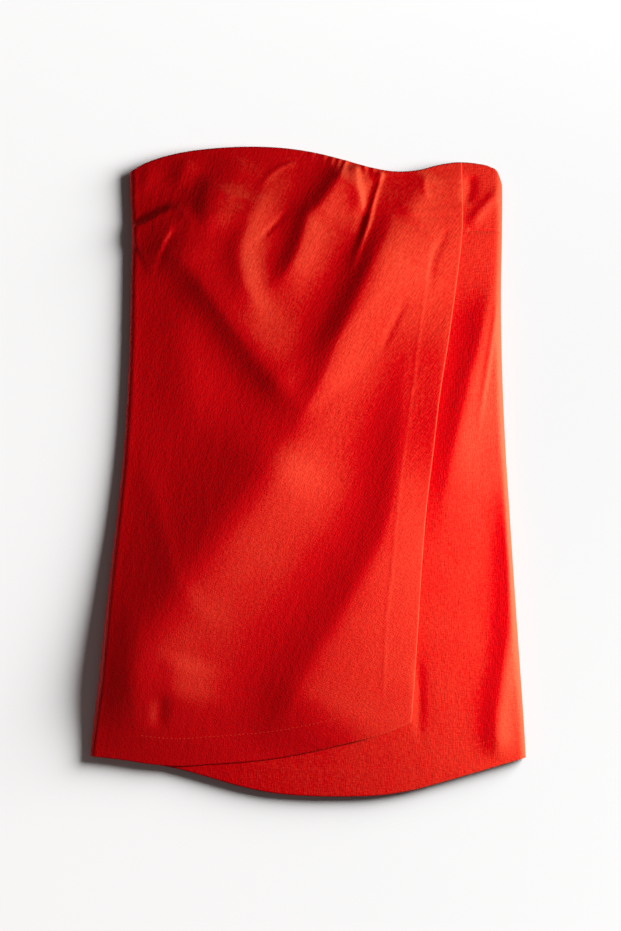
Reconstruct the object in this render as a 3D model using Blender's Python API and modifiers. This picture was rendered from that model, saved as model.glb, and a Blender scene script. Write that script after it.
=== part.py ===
"""A short strapless dress with a draped wrap front, laid flat on its back.

Sizes are in millimetres here and become metres when a mesh is made. +X is the right of the dress as
it is seen from above, +Y runs towards the neckline and +Z is up. The origin is under the middle of
its box, on the surface that the dress lies on.
"""
import bmesh
import bpy
import numpy as np

METRES = 0.001

# The cloth and how the layers lie on each other
WALL = 1.2
SEAM_GAP = 0.3
LAYER_GAP = 0.6
SEAM_HEIGHT = 3.0          # of the side seams above the surface
SEAM_UPRIGHT = 0.8         # stretch of each panel that stands upright at a side seam
FRONT_HEIGHT_NECK = 9.6    # of the under front's outer face
FRONT_HEIGHT_HEM = 8.2
LEFT_ROLL = 8.0           # how far in from the left edge the fronts round over
RIGHT_ROLL = 9.0
BACK_ROLL = 5.0
BACK_HEM_SHORTER = 2.0     # the back stops this far short of the hem that shows

# The concealed zip, on the inside of the centre back seam
TAPE_WIDTH = 22.0
TAPE_THICKNESS = 1.0
ZIP_LENGTH = 350.0
ZIP_BELOW_NECK = 4.0
COIL_RADIUS = 1.2
COIL_RAISED = 0.25         # of the coil's middle above the tape
COIL_SHORTER = 4.0         # than the tape, at each end
SLIDER_SIZE = (7.0, 12.0, 2.0)
SLIDER_ROUNDING = 0.6
SLIDER_BELOW_TOP = 3.0

RED = (0.62, 0.012, 0.008, 1.0)
SHADED_RED = (0.45, 0.008, 0.006, 1.0)
TAPE_RED = (0.50, 0.010, 0.008, 1.0)
ENAMEL_RED = (0.40, 0.010, 0.010, 1.0)

# Cross sections of the dress: height up the picture, its two sides, and the drape's free edge
SECTIONS = (
    # y, left, right, free_edge
    (350, -191.5, 206.0, 164.0),
    (315, -192.0, 208.8, 165.7),
    (260, -190.3, 209.0, 165.9),
    (200, -191.0, 208.0, 159.2),
    (140, -192.3, 208.4, 150.6),
    (80, -194.9, 210.2, 141.0),
    (20, -198.9, 213.1, 134.0),
    (-40, -205.1, 216.9, 126.9),
    (-100, -212.2, 220.8, 122.1),
    (-160, -218.9, 224.9, 118.5),
    (-220, -224.8, 229.1, 114.8),
    (-280, -232.1, 233.2, 110.9),
    (-320, -235.9, 235.3, 110.0),
)

# Where the front's top edge runs
NECKLINE = (
    # x, y
    (-195, 318.5),
    (-192, 321.0),
    (-185, 326.0),
    (-175, 331.5),
    (-160, 337.0),
    (-135, 343.2),
    (-100, 347.6),
    (-60, 349.3),
    (-20, 347.2),
    (10, 342.3),
    (40, 334.7),
    (70, 326.5),
    (95, 322.7),
    (120, 324.5),
    (142, 330.1),
    (162, 332.6),
    (182, 331.2),
    (196, 327.7),
    (204, 322.0),
    (209, 309.0),
)

BACK_NECKLINE = ((-195, 318.0), (-140, 314.0), (0, 311.0), (140, 309.0), (209, 308.0))

# Where the two hems of the front run
HEMS = (
    # x, under_front, drape
    (-236, -305.7, -305.7),
    (-200, -309.8, -309.8),
    (-165, -314.8, -315.0),
    (-140, -319.6, -316.7),
    (-105, -329.3, -314.6),
    (-72, -338.7, -312.4),
    (-40, -345.3, -308.9),
    (0, -348.8, -301.6),
    (40, -349.5, -292.0),
    (80, -347.8, -281.9),
    (115, -341.9, -266.9),
    (145, -333.8, -252.0),
    (180, -323.7, -236.0),
    (210, -314.8, -222.0),
    (236, -307.0, -210.0),
)

# Folds of the drape. Each runs along its path; west and east are how far it reaches to the two sides,
# start and end the shares of its length over which it rises and fades, crest how round its top is.
DRAPE_FOLDS = (
    # name, height, west, east, start, end, crest, path
    ("right sweep", 12.0, 22, 56, 0.34, 0.28, 5.0,
     ((83, 318), (90, 289), (92, 268), (86, 249), (77, 232), (54, 181), (31, 130), (6, 75), (-26, 18))),
    ("low sweep", 17.5, 62, 66, 0.25, 0.24, 5.0,
     ((15, 93), (4, 72), (-50, -13), (-116, -97), (-170, -186), (-196, -280), (-200, -322))),
    ("left cowl", 11.5, 20, 52, 0.24, 0.22, 5.0,
     ((-194, 251), (-168, 246), (-146, 236), (-125, 221), (-100, 189), (-47, 119), (10, 58))),
    ("tucked fold", 3.0, 20, 4.5, 0.25, 0.45, 1.2,
     ((-192, 260), (-168, 269), (-145, 281), (-136, 281), (-129, 275), (-124, 251))),
    ("gathered ridge", 7.0, 15, 26, 0.12, 0.30, 2.0,
     ((48, 332), (35, 316), (15, 289), (1, 275), (-4, 260), (-12, 235), (-26, 210), (-49, 187))),
    ("gathered arc", 5.2, 17, 24, 0.45, 0.35, 3.0,
     ((11, 339), (-19, 326), (-41, 307), (-52, 287), (-62, 265), (-74, 238), (-74, 210), (-66, 182),
      (-47, 150))),
    ("pressed ridge", 2.4, 5, 5, 0.05, 0.50, 1.5,
     ((81, 324), (74, 306), (69, 289), (66, 272), (60, 254), (54, 233), (42, 201))),
    ("upper left fold", 4.0, 20, 22, 0.20, 0.35, 4.0,
     ((-69, 346), (-81, 314), (-92, 286), (-103, 254), (-99, 225))),
    ("hem sweep", 11.5, 32, 95, 0.36, 0.16, 4.0,
     ((125, 225), (115, 152), (106, 88), (100, 23), (94, -30), (82, -73), (62, -111), (41, -151),
      (15, -192), (-9, -235), (-30, -275), (-46, -312))),
    ("edge rise", 3.2, 34, 20, 0.30, 0.40, 3.0, ((155, 195), (148, 131), (142, 77), (136, 23), (129, -41))),
    ("left sweep", 1.0, 14, 13, 0.20, 0.40, 3.0,
     ((-178, 34), (-172, -5), (-160, -47), (-144, -108), (-126, -138), (-101, -162), (-67, -186))),
    ("left side fold", 3.0, 26, 26, 0.30, 0.40, 5.0,
     ((-148, 206), (-135, 142), (-129, 77), (-127, 23))),
    ("low left fold", 1.6, 20, 20, 0.35, 0.30, 4.0,
     ((-180, -127), (-181, -181), (-182, -235), (-178, -283))),
    ("low middle fold", 1.2, 12, 30, 0.30, 0.35, 3.0,
     ((-135, -172), (-146, -213), (-146, -262))),
)

# Small gathers along the neckline between the cups: top point, lower end and height
GATHERS = (
    # x_top, x_end, y_end, height
    (-6, -14, 322, 1.2),
    (6, -3, 318, 1.5),
    (18, 9, 312, 1.8),
    (30, 20, 304, 2.2),
    (60, 58, 300, 1.8),
    (70, 66, 302, 1.4),
)
GATHER_REACH = 4.2
GATHER_CREST = 1.5
GATHER_RUNS_PAST = 6.0     # the neckline, so that a gather is at its full height there

# Folds of the under front, right of the drape's free edge
UNDER_FOLDS = (
    # name, height, west, east, start, end, crest, path
    ("side sweep", 6.0, 20, 34, 0.25, 0.50, 3.0,
     ((203, 226), (196, 185), (183, 129), (169, 75), (157, 23), (148, -30), (142, -95))),
    ("low right fold", 3.4, 13, 13, 0.30, 0.10, 3.0,
     ((207, 7), (211, -79), (212, -159), (209, -224), (205, -267), (204, -315))),
    ("dart fold", 1.6, 8, 8, 0.30, 0.30, 2.5, ((196, 300), (182, 286), (159, 264))),
)


def curve(rows):
    """A smooth reading of (where, value) rows, straight on past both ends."""
    at, value = np.array(sorted(rows), float).T
    slope = np.gradient(value, at)

    def read(where):
        where = np.asarray(where, float)
        row = np.clip(np.searchsorted(at, where) - 1, 0, len(at) - 2)
        span = at[row + 1] - at[row]
        u = np.clip((where - at[row]) / span, 0, 1)
        inside = (
            (2 * u**3 - 3 * u**2 + 1) * value[row]
            + (u**3 - 2 * u**2 + u) * span * slope[row]
            + (3 * u**2 - 2 * u**3) * value[row + 1]
            + (u**3 - u**2) * span * slope[row + 1]
        )
        before = np.minimum(where - at[0], 0) * slope[0]
        after = np.maximum(where - at[-1], 0) * slope[-1]
        return inside + before + after

    return read


left_edge = curve([(y, left) for y, left, _, _ in SECTIONS])
right_edge = curve([(y, right) for y, _, right, _ in SECTIONS])
free_edge = curve([(y, edge) for y, _, _, edge in SECTIONS])
neckline = curve(NECKLINE)
back_neckline = curve(BACK_NECKLINE)
under_hem = curve([(x, hem) for x, hem, _ in HEMS])
drape_hem = curve([(x, hem) for x, _, hem in HEMS])


def back_hem(x):
    return under_hem(x) + BACK_HEM_SHORTER


def smooth_step(share):
    share = np.clip(share, 0, 1)
    return share * share * (3 - 2 * share)


def route(path, runs=30):
    """Points along a smooth curve through the path."""
    path = np.array(path, float)
    padded = np.vstack([2 * path[0] - path[1], path, 2 * path[-1] - path[-2]])
    points = []
    for place in np.linspace(0, len(path) - 1, runs + 1):
        row = min(int(place), len(path) - 2)
        u = place - row
        a, b, c, d = padded[row : row + 4]
        bend = 2 * a - 5 * b + 4 * c - d
        points.append(0.5 * (2 * b + (c - a) * u + bend * u**2 + (3 * b - a - 3 * c + d) * u**3))
    return np.array(points)


def along_and_aside(x, y, line):
    """How far along the line each point lies, as a share, and how far aside of it, plus on its east."""
    steps = np.hypot(*(line[1:] - line[:-1]).T)
    reached = np.concatenate([[0], np.cumsum(steps)])
    nearest = np.full(x.shape, np.inf)
    share = np.zeros(x.shape)
    side = np.ones(x.shape)
    for row, step in enumerate(steps):
        (ax, ay), (bx, by) = line[row], line[row + 1]
        dx, dy = bx - ax, by - ay
        u = np.clip(((x - ax) * dx + (y - ay) * dy) / step**2, 0, 1)
        off_x, off_y = x - ax - u * dx, y - ay - u * dy
        distance = np.hypot(off_x, off_y)
        closer = distance < nearest
        nearest = np.where(closer, distance, nearest)
        share = np.where(closer, (reached[row] + u * step) / reached[-1], share)
        side = np.where(closer, np.where(dx * off_y - dy * off_x >= 0, 1.0, -1.0), side)
    return share, nearest * side


def fold(x, y, height, west, east, start, end, crest, path):
    """The height that one fold adds at each point."""
    share, aside = along_and_aside(x, y, route(path))
    from_crest = np.sqrt(aside**2 + crest**2) - crest
    rise = np.exp(-((from_crest / np.where(aside > 0, east, west)) ** 1.4))
    return height * rise * smooth_step(share / start) * smooth_step((1 - share) / end)


def gathers(x, y):
    """The small gathers that fan down from the neckline."""
    total = np.zeros(x.shape)
    for x_top, x_end, y_end, height in GATHERS:
        top = (x_top, float(neckline(x_top)) + GATHER_RUNS_PAST)
        path = (top, (x_end, y_end))
        total += fold(x, y, height, GATHER_REACH, GATHER_REACH, 0.05, 0.85, GATHER_CREST, path)
    return total


def under_height(x, y):
    """The under front's outer face away from its side seams."""
    share = (y - under_hem(0)) / (neckline(0) - under_hem(0))
    flat = FRONT_HEIGHT_HEM + (FRONT_HEIGHT_NECK - FRONT_HEIGHT_HEM) * share
    return flat + sum(fold(x, y, *row[1:]) for row in UNDER_FOLDS)


def drape_height(x, y):
    """The drape's outer face: the under front's, moved out, with the drape's own folds."""
    folds = sum(fold(x, y, *row[1:]) for row in DRAPE_FOLDS) + gathers(x, y)
    return under_height(x, y) + LAYER_GAP + WALL + folds


def rounded(inwards, roll):
    """0 at a side seam, rising as a quarter ellipse to 1 where the roll ends."""
    return np.sqrt(1 - (1 - np.clip(inwards, 0, roll) / roll) ** 2)


def spaced(*stretches):
    """Shares from 0 to 1. Each stretch is the share where it ends and its number of steps."""
    shares = [0.0]
    for end, steps in stretches:
        shares += list(np.linspace(shares[-1], end, steps + 1)[1:])
    return np.array(shares)


def rolled(roll, steps):
    """Distances in from a side seam: its upright stretch, then equal turns of the roll up to the flat part."""
    if not roll:
        return np.array([])
    turns = np.linspace(0, np.pi / 2, steps + 1)[:-1]
    return np.concatenate([[0.0], roll * (1 - np.cos(turns))])


class Panel:
    """A piece of cloth: rows from its lower edge to its top, columns from its west side to its east."""

    def __init__(self, west, east, lower, top, shares, rows, west_roll=0.0, east_roll=0.0, turns=5):
        self.west, self.east, self.lower, self.top, self.rows = west, east, lower, top, rows
        near, far = rolled(west_roll, turns), rolled(east_roll, turns)
        middle = len(shares)
        self.at_seam = np.zeros(len(near) + middle + len(far))
        self.at_seam[: bool(west_roll)] = 1
        self.at_seam[len(self.at_seam) - bool(east_roll) :] = 1
        self.from_west = np.concatenate([near, np.full(middle + len(far), west_roll)])
        self.share = np.concatenate([np.zeros(len(near)), shares, np.ones(len(far))])
        self.from_east = np.concatenate([np.full(len(near) + middle, east_roll), far[::-1]])
        self.west_roll, self.east_roll = west_roll, east_roll

    def points(self):
        """x, y of every column and row."""
        share, rows = np.meshgrid(self.share, self.rows, indexing="ij")
        west_inset, _ = np.meshgrid(self.from_west, self.rows, indexing="ij")
        east_inset, _ = np.meshgrid(self.from_east, self.rows, indexing="ij")
        y = np.zeros(share.shape)
        for _ in range(12):
            start, stop = self.west(y) + west_inset, self.east(y) - east_inset
            x = start * (1 - share) + stop * share
            y = self.lower(x) * (1 - rows) + self.top(x) * rows
        return x, y

    def heights(self, x, y, seam, flat):
        """The outer face: flat in the middle, rounding over to the seam height at a side that has a roll."""
        reached = np.ones(x.shape)
        if self.west_roll:
            reached = reached * rounded(x - self.west(y), self.west_roll)
        if self.east_roll:
            reached = reached * rounded(self.east(y) - x, self.east_roll)
        upright = np.copysign(SEAM_UPRIGHT, flat - seam)
        above_seam = upright * (1 - self.at_seam[:, None])
        return seam + above_seam + (flat - seam - upright) * reached


def material(name, colour, roughness, metallic=0.0):
    made = bpy.data.materials.new(name)
    made.use_nodes = True
    shader = made.node_tree.nodes["Principled BSDF"]
    shader.inputs["Base Color"].default_value = colour
    shader.inputs["Roughness"].default_value = roughness
    shader.inputs["Metallic"].default_value = metallic
    return made


def add_object(name, mesh, finish, collection):
    piece = bpy.data.objects.new(name, mesh)
    piece.data.materials.append(finish)
    collection.objects.link(piece)
    return piece


def cloth_piece(name, x, y, z, finish, collection, faces_down=False):
    """A panel's outer face as a grid, given its wall on the inside."""
    last_column, last_row = x.shape[0] - 1, x.shape[1] - 1
    form = bmesh.new()
    bmesh.ops.create_grid(form, x_segments=last_column, y_segments=last_row, size=0.5)
    for vertex in form.verts:
        column = round((vertex.co.x + 0.5) * last_column)
        row = round((vertex.co.y + 0.5) * last_row)
        vertex.co = (x[column, row] * METRES, y[column, row] * METRES, z[column, row] * METRES)
    if faces_down:
        bmesh.ops.reverse_faces(form, faces=form.faces)
    mesh = bpy.data.meshes.new(name)
    form.to_mesh(mesh)
    form.free()
    mesh.shade_smooth()
    piece = add_object(name, mesh, finish, collection)
    wall = piece.modifiers.new("Wall", "SOLIDIFY")
    wall.thickness = WALL * METRES
    wall.offset = -1
    return piece


def front_drape(finish, collection):
    """The wrap panel with its cowl and gathers, free along its right edge and its hem."""
    panel = Panel(
        left_edge, free_edge, drape_hem, neckline,
        shares=spaced((0.50, 20), (0.78, 18), (1.0, 7)),
        rows=spaced((0.62, 17), (0.93, 22), (1.0, 6)),
        west_roll=LEFT_ROLL,
    )
    x, y = panel.points()
    z = panel.heights(x, y, SEAM_HEIGHT + SEAM_GAP, drape_height(x, y))
    return cloth_piece("front_drape", x, y, z, finish, collection)


def front_under(finish, collection):
    """The plain front below the drape, from the left side seam to the right one."""
    inset = WALL + LAYER_GAP

    def inside_drape(y):
        return left_edge(y) + inset

    panel = Panel(
        inside_drape, right_edge, under_hem, neckline,
        shares=spaced((0.68, 9), (1.0, 14)),
        rows=spaced((0.6, 11), (1.0, 13)),
        west_roll=LEFT_ROLL - inset, east_roll=RIGHT_ROLL,
    )
    x, y = panel.points()
    z = panel.heights(x, y, SEAM_HEIGHT + SEAM_GAP, under_height(x, y))
    return cloth_piece("front_under", x, y, z, finish, collection)


def middle_of_back(y):
    return np.zeros(np.shape(y))


def back_half(name, side, finish, collection):
    """Half of the back, flat on the surface and turned up to its side seam."""
    half_gap = SEAM_GAP / 2
    shares, rows = spaced((1.0, 6)), spaced((1.0, 16))
    if side < 0:
        panel = Panel(left_edge, lambda y: middle_of_back(y) - half_gap, back_hem, back_neckline,
                      shares, rows, west_roll=BACK_ROLL, turns=4)
    else:
        panel = Panel(lambda y: middle_of_back(y) + half_gap, right_edge, back_hem, back_neckline,
                      shares, rows, east_roll=BACK_ROLL, turns=4)
    x, y = panel.points()
    z = panel.heights(x, y, SEAM_HEIGHT, np.zeros(x.shape))
    return cloth_piece(name, x, y, z, finish, collection, faces_down=True)


def box_mesh(name, size, centre):
    form = bmesh.new()
    bmesh.ops.create_cube(form, size=1.0)
    for vertex in form.verts:
        vertex.co = (np.array(vertex.co) * size + centre) * METRES
    mesh = bpy.data.meshes.new(name)
    form.to_mesh(mesh)
    form.free()
    return mesh


def coil_rod(top, collection):
    """The zip's coil as one rod, which joins the tape."""
    bpy.ops.mesh.primitive_cylinder_add(
        vertices=12, radius=COIL_RADIUS * METRES, depth=(ZIP_LENGTH - 2 * COIL_SHORTER) * METRES,
        location=(0, (top - ZIP_LENGTH / 2) * METRES, (tape_top() + COIL_RAISED) * METRES),
        rotation=(np.pi / 2, 0, 0),
    )
    rod = bpy.context.object
    rod.name = "coil_rod"
    for holder in list(rod.users_collection):
        holder.objects.unlink(rod)
    collection.objects.link(rod)
    rod.hide_render = True
    rod.display_type = "WIRE"
    return rod


def tape_top():
    return WALL + SEAM_GAP + TAPE_THICKNESS


def zip_top():
    return float(back_neckline(0)) - ZIP_BELOW_NECK


def zip_tape(finish, collection, helpers):
    """The closed zip: a tape along the centre back seam with the coil down its middle."""
    top = zip_top()
    centre = (0, top - ZIP_LENGTH / 2, tape_top() - TAPE_THICKNESS / 2)
    mesh = box_mesh("zip_tape", (TAPE_WIDTH, ZIP_LENGTH, TAPE_THICKNESS), centre)
    tape = add_object("zip_tape", mesh, finish, collection)
    join = tape.modifiers.new("Coil", "BOOLEAN")
    join.operation = "UNION"
    join.object = coil_rod(top, helpers)
    return tape


def zip_slider(finish, collection):
    """The slider at the top of the closed zip, just clear of the coil."""
    width, length, thickness = SLIDER_SIZE
    coil_top = tape_top() + COIL_RAISED + COIL_RADIUS
    centre = (0, zip_top() - SLIDER_BELOW_TOP - length / 2, coil_top + SEAM_GAP + thickness / 2)
    mesh = box_mesh("zip_slider", (width, length, thickness), centre)
    slider = add_object("zip_slider", mesh, finish, collection)
    rounding = slider.modifiers.new("Rounding", "BEVEL")
    rounding.width = SLIDER_ROUNDING * METRES
    rounding.segments = 2
    return slider


def new_collection(name):
    made = bpy.data.collections.new(name)
    bpy.context.scene.collection.children.link(made)
    return made


def main():
    for item in list(bpy.data.objects):
        bpy.data.objects.remove(item, do_unlink=True)
    dress = new_collection("strapless_dress")
    helpers = new_collection("helpers")
    cloth = material("woven cloth", RED, 0.55)
    front_drape(cloth, dress)
    front_under(cloth, dress)
    back_cloth = material("back cloth", SHADED_RED, 0.6)
    back_half("back_left", -1, back_cloth, dress)
    back_half("back_right", 1, back_cloth, dress)
    zip_tape(material("zip tape", TAPE_RED, 0.7), dress, helpers)
    zip_slider(material("enamel", ENAMEL_RED, 0.35, 0.6), dress)


main()
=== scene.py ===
"""The looks of a short strapless dress with a draped wrap front, laid flat on its back.

Sizes are in millimetres here and become metres when a mesh is made. +X is the right of the dress as
it is seen from above, +Y runs towards the neckline and +Z is up. The origin is under the middle of
the dress, on the surface that it lies on.
"""

import bmesh
import bpy
import numpy as np
from bpy.props import FloatProperty, FloatVectorProperty, IntProperty, PointerProperty
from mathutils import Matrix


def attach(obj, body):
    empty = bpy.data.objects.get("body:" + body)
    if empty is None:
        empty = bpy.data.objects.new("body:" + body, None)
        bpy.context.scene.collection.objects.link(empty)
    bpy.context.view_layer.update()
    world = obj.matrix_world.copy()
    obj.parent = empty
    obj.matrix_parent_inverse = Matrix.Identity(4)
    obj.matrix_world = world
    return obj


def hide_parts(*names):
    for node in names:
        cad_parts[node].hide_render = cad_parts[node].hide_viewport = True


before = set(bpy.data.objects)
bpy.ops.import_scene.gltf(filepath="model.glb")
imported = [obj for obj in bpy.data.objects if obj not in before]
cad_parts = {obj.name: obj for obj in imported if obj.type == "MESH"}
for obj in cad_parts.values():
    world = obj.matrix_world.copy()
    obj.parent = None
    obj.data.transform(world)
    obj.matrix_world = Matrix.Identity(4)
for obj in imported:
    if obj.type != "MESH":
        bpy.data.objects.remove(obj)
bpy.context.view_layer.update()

bl_info = {
    "name": "Draped Strapless Dress",
    "version": (1, 0, 0),
    "blender": (4, 5, 0),
    "location": "View3D > Sidebar > Dress",
    "description": "Makes the cloth, sewing and stage of a strapless dress laid flat",
    "category": "Object",
}

METRES = 0.001
BODY = "root"
GRAIN = "Grain"

# The cloth and how the layers lie on each other
SEAM_GAP = 0.3
LAYER_GAP = 0.5
SEAM_HEIGHT = 3.0          # of the side seams above the surface
SEAM_UPRIGHT = 0.8         # stretch of each piece that stands upright at a side seam
FRONT_HEIGHT_NECK = 9.6    # of the under front's outer face
FRONT_HEIGHT_HEM = 8.2
LEFT_ROLL = 8.0            # how far in from the left edge the fronts round over
RIGHT_ROLL = 9.0
BACK_ROLL = 5.0
ROLL_FULLNESS = 2.6        # 2 would be a quarter ellipse
BACK_HEM_SHORTER = 2.0     # the back stops this far short of the hem that shows
EDGE_DROP = 0.09           # how far a folded edge bends down, and over what distance
EDGE_REACH = 0.9
EDGE_POWER = 1.5           # how suddenly it bends
HEM_TURN = 30.0            # depth of the turned-up hems
HEM_TURN_STEP = 0.22       # the double layer stands this much prouder
STEP_WIDTH = 1.6           # over which that step rises
FACING_RIDGE = 0.22        # pressed through along the facing's inner edge
FACING_REACH = (2.4, 0.8)  # of that ridge, to its west and east
FACING_SHOWS_BELOW = 262.0
FACING_FADES = (40, 25)    # over this far at its top, and above the turned-up hem
SEAM_ALLOWANCE = 8.0       # inside the left side seam
ROLL_STEPS = 8             # columns of faces round a rolled side
PLACING_ROUNDS = 12        # each brings a piece's rows and columns closer to its curved edges
GRAIN_TURN = 0.42          # of the drape's threads in the middle of the dress, in radians
GRAIN_TURN_RATE = 0.0011   # how much more they turn for each millimetre to the right

# The concealed zip, on the inside of the centre back seam
ZIP_LENGTH = 350.0
ZIP_BELOW_NECK = 4.0
ZIP_COIL_MIDDLE = 2.75     # height of the coil's middle above the surface
COIL_SHORTER = 6.0         # than the tape, at each end
SLIDER_SPACE = 20.0        # left free of coil turns at the top

# Where the hems' stitches show: from, to and the number of points between
DRAPE_HEM_STITCHED = (-178, 106, 150)
UNDER_HEM_STITCHED = (126, 212, 60)
DART_STITCHED_TO = 200
THREAD_LIFT = 0.4          # of the thread's radius, above the cloth
DART_STITCH = 0.7          # thread that shows, as a share of the spacing

# How much of the orange cross-thread colour shows: as a painted highlight where the cloth leans to the
# east and north, towards the lights, and as real uneven tone in slubs and cloudy patches
PAINTED_SHEEN_EAST = 2.6
PAINTED_SHEEN_NORTH = 0.3
WEFT_IN_SLUBS = 0.7
WEFT_IN_CLOUDS = 0.2
WEFT_AND_SHEEN_HIDDEN = 0.48

# Patches in a metre: of the cloth, across and along, and of the enamel, aside and up
CLOUDS = (30.0, 22.0)
RUMPLES = (110.0, 38.0)
ENAMEL_WEAR = (900.0, 500.0)

# Turns of the sewing thread and ribs of the tape, in radians a metre
THREAD_TWIST = 9000.0
TAPE_RIBS = (9000.0, 7000.0)

FLOOR_TONE = 0.875         # of the floor in the picture, as a share of white
FLOOR_SUNK = 0.0003        # below the dress, in metres
LIGHT_SPREAD = 0.19        # a wide light's edges are further off than its middle
SENSOR_WIDTH = 36.0        # of the camera, in millimetres

# Cross sections of the dress: height up the picture, its two sides, and the drape's free edge
SECTIONS = (
    # y, left, right, free_edge
    (350, -191.5, 206.0, 164.0),
    (315, -192.0, 208.8, 165.7),
    (260, -190.3, 209.0, 165.9),
    (200, -191.0, 208.0, 159.2),
    (140, -192.3, 208.4, 150.6),
    (80, -194.9, 210.2, 141.0),
    (20, -198.9, 213.1, 134.0),
    (-40, -205.1, 216.9, 126.9),
    (-100, -212.2, 220.8, 122.1),
    (-160, -218.9, 224.9, 118.5),
    (-220, -224.8, 229.1, 114.8),
    (-280, -232.1, 233.2, 110.9),
    (-320, -235.9, 235.3, 110.0),
)

# Where the front's top edge runs
NECKLINE = (
    # x, y
    (-195, 318.5),
    (-192, 321.0),
    (-185, 326.0),
    (-175, 331.5),
    (-160, 337.0),
    (-135, 343.2),
    (-100, 347.6),
    (-60, 349.3),
    (-20, 347.2),
    (10, 342.3),
    (40, 334.7),
    (70, 326.5),
    (95, 322.7),
    (120, 324.5),
    (142, 330.1),
    (162, 332.6),
    (182, 331.2),
    (196, 327.7),
    (204, 322.0),
    (209, 309.0),
)

BACK_NECKLINE = ((-195, 318.0), (-140, 314.0), (0, 311.0), (140, 309.0), (209, 308.0))

# Where the two hems of the front run
HEMS = (
    # x, under_front, drape
    (-236, -305.7, -305.7),
    (-200, -309.8, -309.8),
    (-165, -314.8, -315.0),
    (-140, -319.6, -316.7),
    (-105, -329.3, -314.6),
    (-72, -338.7, -312.4),
    (-40, -345.3, -308.9),
    (0, -348.8, -301.6),
    (40, -349.5, -292.0),
    (80, -347.8, -281.9),
    (115, -341.9, -266.9),
    (145, -333.8, -252.0),
    (180, -323.7, -236.0),
    (210, -314.8, -222.0),
    (236, -307.0, -210.0),
)

# Where the inner edge of the drape's facing presses through
FACING_EDGE = (
    # y, x
    (330, 144.9),
    (260, 134.4),
    (200, 126.6),
    (140, 118.4),
    (80, 111.1),
    (20, 102.8),
    (-40, 96.3),
    (-100, 90.8),
    (-160, 84.3),
    (-220, 81.9),
    (-245, 81.5),
)

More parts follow.
